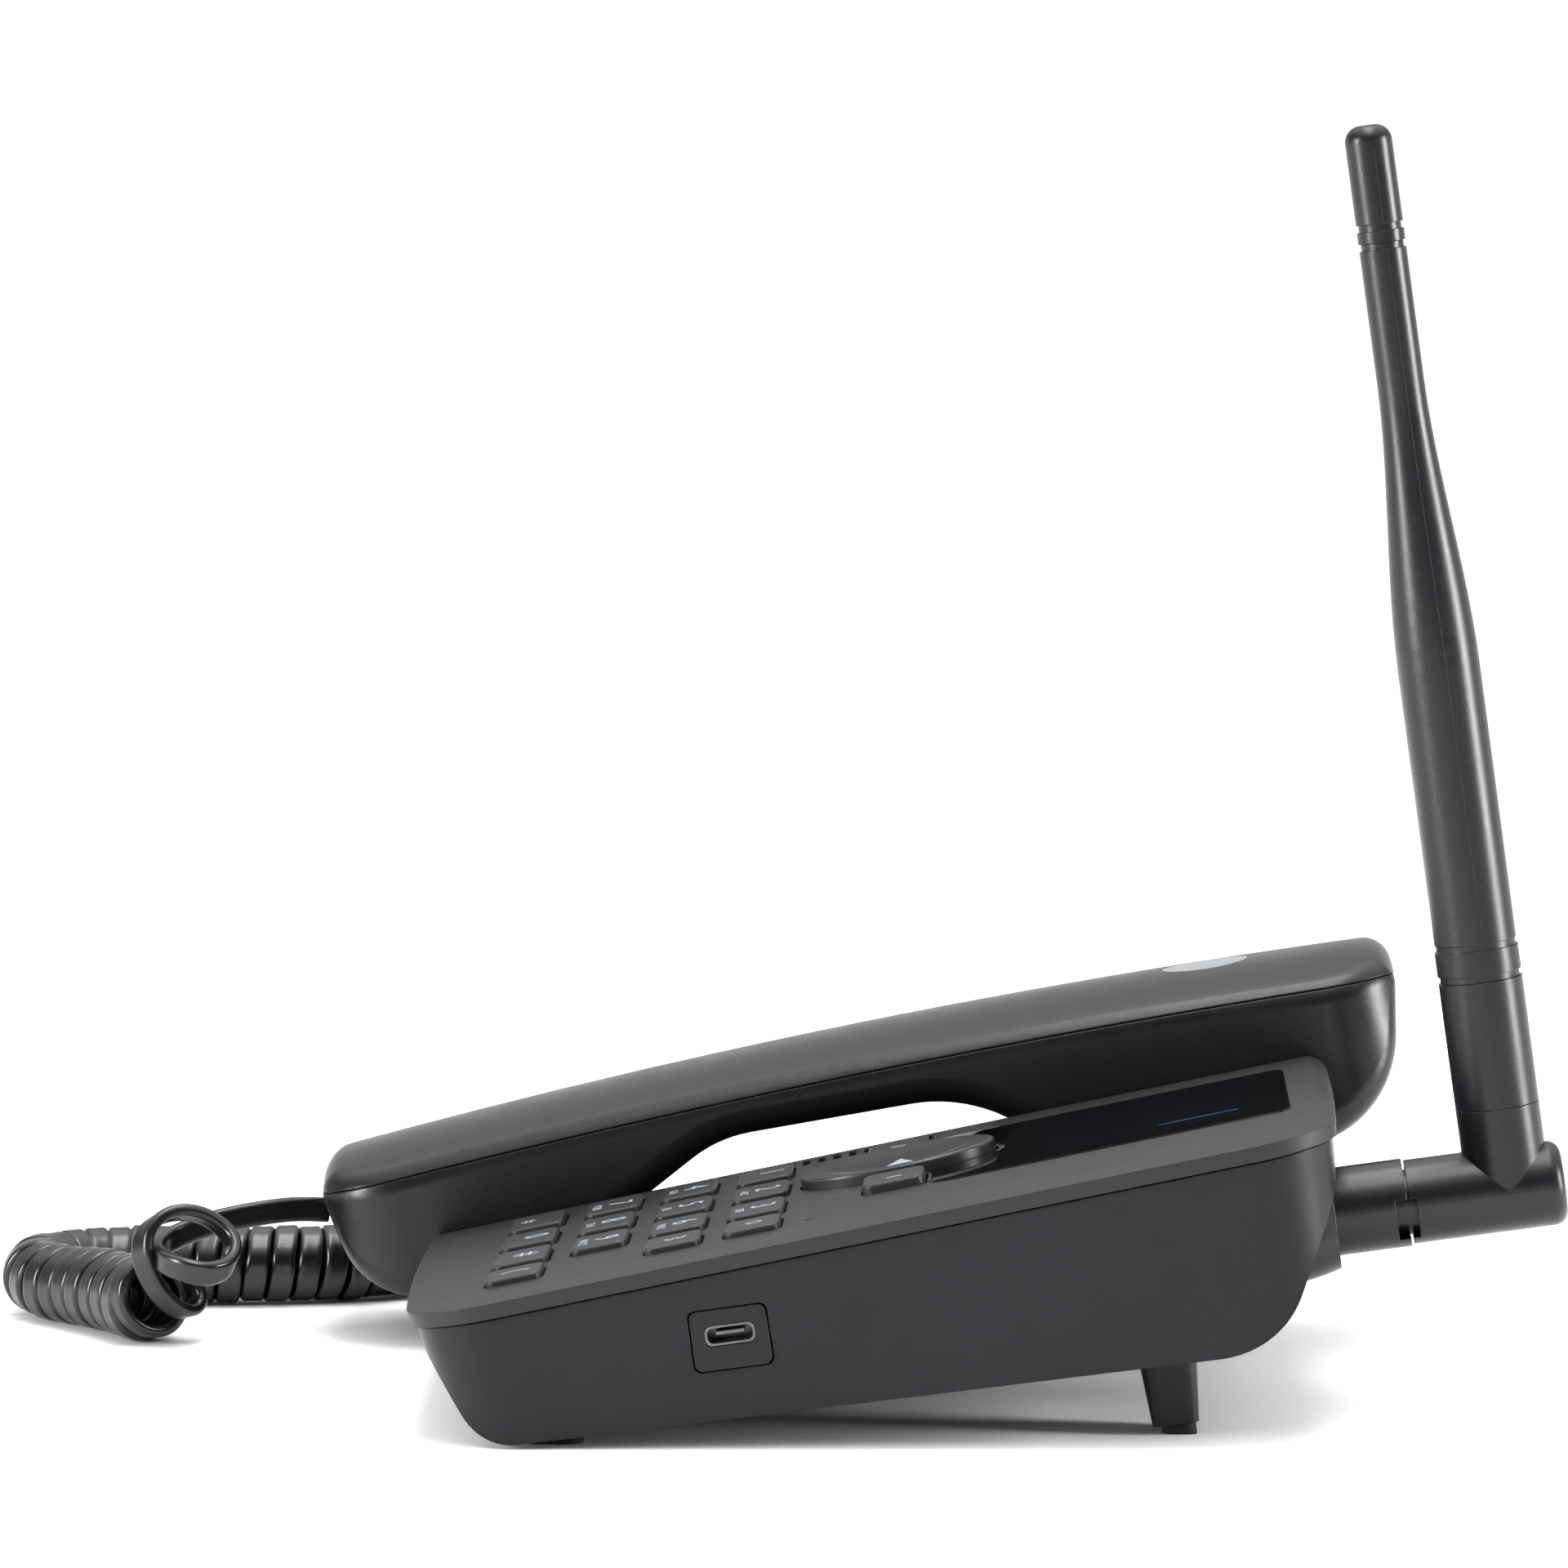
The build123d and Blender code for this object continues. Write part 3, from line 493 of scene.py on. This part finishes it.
def turnPlaces():
    # how far along the coil each step of the winding lies: wide at the first turn, a little open at the last
    look = curlyCord
    count = int(look["turns"] * look["pointsPerTurn"])
    places = [0.0]
    for number in range(count):
        turn = look["turns"] * number / count
        opened = ease(1 + (turn - look["turns"]) / look["looseTurns"])
        first = 1 - ease(turn / look["firstTurns"])
        step = 1 + (look["firstPitch"] - 1) * first + (look["loosePitch"] - 1) * opened
        places.append(places[-1] + step)
    return [place / places[-1] for place in places]


def coilControls():
    # winding points round the coil's middle, and the way the flat cord is wide at each
    look = curlyCord
    axis, gone = coilAxis()
    places = turnPlaces()
    controls = []
    for number, place in enumerate(places):
        turn = look["turns"] * number / (len(places) - 1)
        index = min(len(axis) - 2, max(0, sum(1 for far in gone if far < place * gone[-1]) - 1))
        before, after = axis[max(0, index - 8)], axis[min(len(axis) - 1, index + 9)]
        opened = ease(1 + (turn - look["turns"]) / look["looseTurns"])
        ahead = (after - before).normalized()
        ahead = (ahead + Vector((0.1, 0, 1)) * look["tilt"] * opened ** 2).normalized()
        side = Vector((0, 0, 1)).cross(ahead).normalized()
        rise = ahead.cross(side)
        angle = math.radians(look["startAngle"] - 360 * turn)
        outward = side * math.cos(angle) + rise * math.sin(angle)
        reach = (look["across"] - look["thick"]) / 2
        spare = opened * (look["looseAcross"] - look["across"]) / 2
        wobble = look["wobble"] * (math.sin(2.3 * turn) + 0.8 * math.sin(5.1 * turn + 1))
        spot = axis[index] + outward * (reach + spare + wobble) + Vector((0, 0, spare + 0.0001))
        controls.append((spot, ahead))
    return controls


def cordControls():
    base = [(Vector(spot), Vector(wide).normalized()) for spot, wide in curlyCord["baseRoute"]]
    loose = [(Vector(spot), Vector(wide).normalized()) for spot, wide in curlyCord["looseRoute"]]
    return base + coilControls() + loose


def ribbonSection():
    # flat cord with round edges, each broad face a little hollow
    look = curlyCord
    wide, high, corner = look["width"] / 2, look["thick"] / 2, look["edgeRound"]
    points = []
    for x, y, start in ((1, 1, 0), (-1, 1, 90), (-1, -1, 180), (1, -1, 270)):
        for step in range(look["cornerPoints"]):
            angle = math.radians(start + 90 * step / (look["cornerPoints"] - 1))
            points.append((x * (wide - corner) + corner * math.cos(angle),
                           y * (high - corner) + corner * math.sin(angle)))
        if x == y:
            # two points across the broad face, set a little inwards
            side = high * (1 - look["hollow"]) * y
            points += [(wide * 0.30 * x, side), (-wide * 0.30 * x, side)]
    return points


def ribbonMesh(line, edge):
    # rings of the flat section along the line; edge is the same line, shifted the way the cord is wide
    section = ribbonSection()
    shape = bmesh.new()
    rings = []
    for index, spot in enumerate(line):
        before, after = line[max(0, index - 1)], line[min(len(line) - 1, index + 1)]
        along = (after - before).normalized()
        wide = edge[index] - spot
        wide = (wide - along * wide.dot(along)).normalized()
        up = along.cross(wide)
        ring = [spot + wide * x + up * y for x, y in section]
        lift = max(0.0, curlyCord["floorGap"] - min(point.z for point in ring))
        rings.append([shape.verts.new(point + Vector((0, 0, lift))) for point in ring])
    count = len(section)
    for first, second in zip(rings, rings[1:]):
        for i in range(count):
            shape.faces.new((first[i], first[(i + 1) % count], second[(i + 1) % count], second[i]))
    shape.faces.new(list(reversed(rings[0])))
    shape.faces.new(rings[-1])
    bmesh.ops.recalc_face_normals(shape, faces=shape.faces)
    for face in shape.faces:
        face.smooth = True
    mesh = bpy.data.meshes.new("curlyCord")
    shape.to_mesh(mesh)
    shape.free()
    return mesh


def makeCurlyCord():
    look = curlyCord
    controls = cordControls()
    line = readLine([spot for spot, wide in controls], 6)
    edge = readLine([spot + wide * look["width"] for spot, wide in controls], 6)
    cord = addPiece("curly_cord", ribbonMesh(line, edge), "cordGloss", None)
    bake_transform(cord)
    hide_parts("cord_coil", "cord_lead_base", "cord_lead_handset")
    print("curly cord drawn out:", round(lineLength(line), 3), "m,", len(line), "points")


makeCurlyCord()


keyMarks = {
    "digitHeight": 4.3, "letterHeight": 1.5, "printDepth": 0.03, "keyTop": 1.0,
    "faces": {
        "1": "", "2": "ABC", "3": "DEF", "4": "GHI", "5": "JKL", "6": "MNO", "7": "PQRS", "8": "TUV",
        "9": "WXYZ", "0": "", "star": "", "hash": "",
    },
    "digits": {"star": "*", "hash": "#"},
}


def letterMesh(text, height, x, y, z):
    # a word as a thin mesh on the deck, its middle at x, y
    capShare = 0.73
    data = bpy.data.curves.new("letters", "FONT")
    data.body = text
    data.size = height / capShare
    data.align_x = "CENTER"
    data.extrude = keyMarks["printDepth"] / 2
    data.resolution_u = 5
    word = bpy.data.objects.new("letters", data)
    bpy.context.scene.collection.objects.link(word)
    depsgraph = bpy.context.evaluated_depsgraph_get()
    mesh = bpy.data.meshes.new_from_object(word.evaluated_get(depsgraph))
    bpy.data.objects.remove(word)
    bpy.data.curves.remove(data)
    drop = height * (1.35 if text == "*" else 0.5)
    for vertex in mesh.vertices:
        vertex.co = onDeck(x + vertex.co.x, y - drop + vertex.co.y, z + vertex.co.z)
    return mesh


def strokeMesh(points, width, heightAt):
    # a thin painted stroke through points
    meshes = []
    for (x0, y0), (x1, y1) in zip(points, points[1:]):
        run = math.hypot(x1 - x0, y1 - y0)
        nx, ny = -(y1 - y0) / run * width / 2, (x1 - x0) / run * width / 2
        ex, ey = (x1 - x0) / run * width * 0.2, (y1 - y0) / run * width * 0.2
        outline = [(x0 - ex - nx, y0 - ey - ny), (x1 + ex - nx, y1 + ey - ny),
                   (x1 + ex + nx, y1 + ey + ny), (x0 - ex + nx, y0 - ey + ny)]
        meshes.append(flatShape(outline, keyMarks["printDepth"],
                                lambda x, y, z: onDeck(x, y, heightAt(x, y) + z)))
    return joinMeshes("stroke", meshes)


def makeKeyMarks():
    top = keyMarks["keyTop"] + keyMarks["printDepth"] / 2
    for key, letters in keyMarks["faces"].items():
        centre = deckCentre("key_" + key)
        meshes = [letterMesh(keyMarks["digits"].get(key, key), keyMarks["digitHeight"],
                             centre.x, centre.y + 1.0, top)]
        if letters:
            meshes.append(letterMesh(letters, keyMarks["letterHeight"], centre.x + 0.6, centre.y - 2.9, top))
        mesh = joinMeshes("mark_" + key, meshes)
        addPiece("mark_" + key, mesh, "markPaint", "key_body_" + key)


def arcPoints(x, y, radius, start, end, steps=10):
    angles = [math.radians(start + (end - start) * i / steps) for i in range(steps + 1)]
    return [(x + radius * math.cos(a), y + radius * math.sin(a)) for a in angles]


def makeSideMarks():
    def level(x, y):
        return keyMarks["keyTop"]
    call = deckCentre("key_call")
    redial = deckCentre("key_redial")
    menu = deckCentre("key_menu")
    shapes = {
        "call": [arcPoints(call.x + 1.6, call.y, 2.4, 120, 240)],
        "redial": [[(redial.x - 0.6, redial.y - 1.5), (redial.x + 0.7, redial.y - 0.6),
                    (redial.x - 0.6, redial.y + 0.2), (redial.x + 0.7, redial.y + 1.0),
                    (redial.x - 0.6, redial.y + 1.8)]],
        "menu": [arcPoints(menu.x, menu.y, 1.1, 0, 360, 16)],
    }
    for key, strokes in shapes.items():
        mesh = joinMeshes("mark_" + key, [strokeMesh(points, 0.55, level) for points in strokes])
        addPiece("mark_" + key, mesh, "markPaint", "key_body_" + key)


navKey = {"middle": (13.5, 76.5), "top": 2.0, "dishDepth": 1.0, "dishRadius": 70.0}


def navHeight(x, y):
    off = math.hypot(x - navKey["middle"][0], y - navKey["middle"][1])
    base = navKey["top"] - navKey["dishDepth"] + navKey["dishRadius"]
    return base - math.sqrt(navKey["dishRadius"] ** 2 - off ** 2)


def makeNavMarks():
    arrow = flatShape([(10.9, 76.9), (17.2, 74.7), (17.2, 79.1)], keyMarks["printDepth"],
                      lambda x, y, z: onDeck(x, y, navHeight(x, y) + z))
    strokes = [strokeMesh(points, 0.45, navHeight)
               for points in ([(20.0, 65.8), (22.4, 69.6)], [(22.6, 84.2), (18.6, 88.0)])]
    mesh = joinMeshes("nav_marks", [arrow] + strokes)
    addPiece("nav_marks", mesh, "markPaint", "nav")
    for name, body, shift in (("soft_key_left", "soft_left", 2.6), ("soft_key_right", "soft_right", 1.6)):
        centre = deckCentre(name)
        dash = strokeMesh([(centre.x + shift, centre.y - 1.0), (centre.x + shift, centre.y + 1.2)], 0.6,
                          lambda x, y: 1.5)
        addPiece(name + "_dash", dash, "markPaint", body)


def makeFingerNibs():
    # two raised dots that mark the middle key for a finger
    centre = deckCentre("key_5")
    shape = bmesh.new()
    for side in (-1, 1):
        bump = bmesh.ops.create_uvsphere(shape, u_segments=14, v_segments=8, radius=0.45)
        for vertex in bump["verts"]:
            spot = vertex.co
            vertex.co = onDeck(centre.x + side * 5.6 + spot.x, centre.y + spot.y, 0.95 + spot.z * 0.55)
    for face in shape.faces:
        face.smooth = True
    mesh = bpy.data.meshes.new("finger_nibs")
    shape.to_mesh(mesh)
    shape.free()
    addPiece("finger_nibs", mesh, "keySatin", "key_body_5")


makeKeyMarks()
makeSideMarks()
makeNavMarks()
makeFingerNibs()
print("key marks printed")


# lineX and lineY place the painted blue glow along the display's edge
display = {"window": (-3.6, 33.6, 100.5, 133.0), "corner": 1.2, "face": 0.17, "lineX": 27.4,
           "lineY": (119, 132)}


def roundedOutline(x0, x1, y0, y1, corner, steps=6):
    points = []
    for x, y, start in ((x1 - corner, y1 - corner, 0), (x0 + corner, y1 - corner, 90),
                        (x0 + corner, y0 + corner, 180), (x1 - corner, y0 + corner, 270)):
        points += arcPoints(x, y, corner, start, start + 90, steps)
    return points


def makeDisplay():
    face = display["face"]
    window = flatShape(roundedOutline(*display["window"], display["corner"]), 0.03,
                       lambda x, y, z: onDeck(x, y, face + z))
    addPiece("display_window", window, "windowBlack", "base")
    # the blue strip is a painted glow: flat colour standing in for the lit edge of the display, not a lamp
    x, (y0, y1) = display["lineX"], display["lineY"]
    glow = flatShape(roundedOutline(x - 0.35, x + 0.35, y0, y1, 0.3, 3), 0.02,
                     lambda x, y, z: onDeck(x, y, face + 0.035 + z))
    addPiece("display_edge_glow", glow, "paintedGlowBlue", "base")


makeDisplay()


socketContacts = {"middle": (67.8, 48.4, -13.0), "lean": -4.0, "pitch": 0.65, "wide": 0.35, "count": 5}


def makeContacts():
    x, y, z = socketContacts["middle"]
    place = deckPlace @ Matrix.Translation((x * mm, y * mm, z * mm))
    place = place @ Matrix.Rotation(math.radians(socketContacts["lean"]), 4, "X")
    shape = bmesh.new()
    for index in range(socketContacts["count"]):
        offset = (index - (socketContacts["count"] - 1) / 2) * socketContacts["pitch"]
        made = bmesh.ops.create_cube(shape, size=1.0)
        for vertex in made["verts"]:
            spot = vertex.co
            vertex.co = place @ Vector(((0.2 + spot.x * 2.6) * mm,
                                        (offset + spot.y * socketContacts["wide"]) * mm,
                                        (0.52 + spot.z * 0.06) * mm))
    bmesh.ops.bevel(shape, geom=list(shape.edges), offset=0.01 * mm, segments=1, affect="EDGES")
    mesh = bpy.data.meshes.new("socket_contacts")
    shape.to_mesh(mesh)
    shape.free()
    addPiece("socket_contacts", mesh, "contactGold", "base")


makeContacts()


antenna = {"elbow": (25, 92.0, 35.3), "tilt": 8.0, "radius": 6.7, "tipRadius": 3.75, "taper": (84.0, 130.0),
           "runs": ((14.2, 33.7), (40.5, 150.6), (155.3, 167.0)), "seamAt": (8, 188)}


def whipRadius(z):
    full, slim = antenna["radius"] - 0.15, antenna["tipRadius"]
    low, high = antenna["taper"]
    return full - (full - slim) * ease((z - low) / (high - low))


def makeAntennaSeam():
    # the thin flash line that the two mould halves leave
    place = Matrix.Translation(Vector(antenna["elbow"]) * mm)
    place = place @ Matrix.Rotation(math.radians(antenna["tilt"]), 4, "X")
    shape = bmesh.new()
    for seam in antenna["seamAt"]:
        for low, high in antenna["runs"]:
            steps = 40
            rows = []
            for index in range(steps + 1):
                z = low + (high - low) * index / steps
                radius = antenna["radius"] if z < 35 else whipRadius(z)
                row = []
                for turn, lift in ((-0.9, -0.05), (0, 0.05), (0.9, -0.05)):
                    angle = math.radians(seam + turn * 6.7 / radius)
                    reach = radius + lift
                    row.append(shape.verts.new(place @ (Vector((reach * math.cos(angle),
                                                                reach * math.sin(angle), z)) * mm)))
                rows.append(row)
            for first, second in zip(rows, rows[1:]):
                for i in range(3):
                    j = (i + 1) % 3
                    shape.faces.new((first[i], first[j], second[j], second[i]))
            shape.faces.new(list(reversed(rows[0])))
            shape.faces.new(rows[-1])
    bmesh.ops.recalc_face_normals(shape, faces=shape.faces)
    mesh = bpy.data.meshes.new("antenna_seam")
    shape.to_mesh(mesh)
    shape.free()
    addPiece("antenna_seam", mesh, "antennaSatin", "antenna")


makeAntennaSeam()
print("display, socket and antenna details made")
